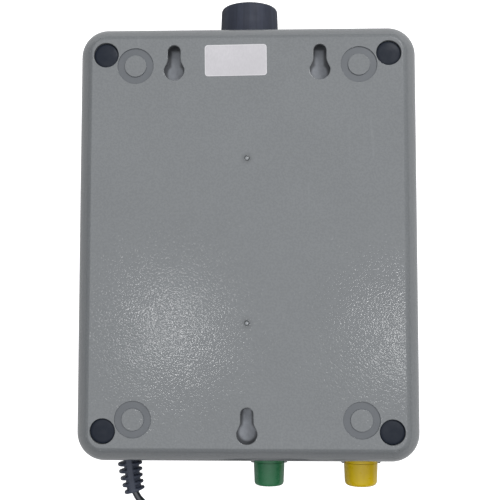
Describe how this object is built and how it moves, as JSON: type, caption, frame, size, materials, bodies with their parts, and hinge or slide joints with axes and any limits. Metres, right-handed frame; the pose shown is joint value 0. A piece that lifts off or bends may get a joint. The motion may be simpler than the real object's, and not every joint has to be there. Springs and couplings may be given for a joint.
{
  "type": "electric fence energiser",
  "caption": "Wall-hung electric fence energiser: moulded case with keyholes, selector knob, screw-cap fence and earth terminals, and a supply cord with plug.",
  "frame": {"origin": "centre of the front face, on which the object lies", "axes": "+X across the case, +Y along the case towards the selector knob, +Z out of the wall face"},
  "size_m": [0.15, 0.2926, 0.075],
  "materials": {
    "case_grey": "fine spark-textured moulded plastic",
    "black_plastic": "satin moulded plastic",
    "green_plastic": "satin moulded plastic",
    "yellow_plastic": "satin moulded plastic",
    "seal_rubber": "matt rubber",
    "zinc_steel": "bright zinc plate",
    "brass": "turned",
    "panel_film": "plain printed film, left blank",
    "clear_plastic": "clear moulding",
    "red_led": "tinted epoxy",
    "board_laminate": "solder mask over glass laminate",
    "lamination_steel": "varnished laminations",
    "winding_tape": "polyester tape over enamelled wire",
    "capacitor_film": "moulded sleeve",
    "capacitor_sleeve": "heat-shrunk sleeve",
    "epoxy_black": "moulded epoxy",
    "aluminium": "extruded",
    "resistor_body": "lacquered",
    "nylon_white": "natural nylon",
    "pvc_cord": "glossy PVC jacket",
    "tie_plastic": "coated wire tie"
  },
  "bodies": {
    "root": {"rear_cover": "case_grey", "front_housing": "case_grey", "case_gasket": "seal_rubber", "case_screws": "zinc_steel", "corner_plugs": "black_plastic", "front_panel": "panel_film", "light_pipe": "clear_plastic", "status_led": "red_led", "circuit_board": "board_laminate", "board_screws": "zinc_steel", "transformer_core": "lamination_steel", "transformer_bobbin": "epoxy_black", "transformer_winding": "winding_tape", "storage_capacitor": "capacitor_film", "filter_capacitors": "capacitor_sleeve", "thyristor": "epoxy_black", "heatsink": "aluminium", "thyristor_screw": "zinc_steel", "inverter_transformer": "winding_tape", "control_chip": "epoxy_black", "resistors": "resistor_body", "supply_connector": "nylon_white", "output_tabs": "zinc_steel", "earth_lead": "green_plastic", "fence_lead": "yellow_plastic", "input_lead": "pvc_cord", "lead_clamp": "nylon_white", "clamp_screws": "zinc_steel", "selector_switch": "epoxy_black", "selector_washer": "seal_rubber", "selector_nut": "zinc_steel", "earth_stud": "zinc_steel", "fence_stud": "zinc_steel", "earth_collar": "green_plastic", "fence_collar": "yellow_plastic", "stud_washers": "zinc_steel", "stud_nuts": "zinc_steel", "ring_terminals": "zinc_steel", "strain_relief": "black_plastic", "supply_cord": "pvc_cord", "cord_coil": "pvc_cord", "cord_tail": "pvc_cord", "cord_tie": "tie_plastic", "plug_body": "black_plastic", "plug_barrel": "zinc_steel", "plug_tip": "epoxy_black"},
    "selector": {"selector_knob": "black_plastic", "selector_shaft": "brass", "knob_set_screw": "zinc_steel"},
    "earth_washer": {"earth_clamp_washer": "zinc_steel"},
    "earth_screw_cap": {"earth_cap": "green_plastic", "earth_insert": "brass"},
    "fence_washer": {"fence_clamp_washer": "zinc_steel"},
    "fence_screw_cap": {"fence_cap": "yellow_plastic", "fence_insert": "brass"}
  },
  "joints": [
    {"name": "selector_turn", "type": "hinge", "parent": "root", "child": "selector", "pos_m": [0, 0.105, 0.039], "axis": [0, 1, 0], "range_deg": [-60, 60]},
    {"name": "earth_clamp_travel", "type": "slide", "parent": "root", "child": "earth_washer", "axis": [0, -1, 0], "range_m": [0, 0.003]},
    {"name": "earth_cap_turn", "type": "hinge", "parent": "earth_washer", "child": "earth_screw_cap", "pos_m": [0.0091, -0.105, 0.039], "axis": [0, -1, 0], "range_deg": [0, 1080]},
    {"name": "fence_clamp_travel", "type": "slide", "parent": "root", "child": "fence_washer", "axis": [0, -1, 0], "range_m": [0, 0.003]},
    {"name": "fence_cap_turn", "type": "hinge", "parent": "fence_washer", "child": "fence_screw_cap", "pos_m": [0.0515, -0.105, 0.039], "axis": [0, -1, 0], "range_deg": [0, 1080]}
  ],
  "couplings": [
    {"joint": "earth_cap_turn", "follows": "earth_clamp_travel", "rad_per_m": 6283.2},
    {"joint": "fence_cap_turn", "follows": "fence_clamp_travel", "rad_per_m": 6283.2}
  ]
}
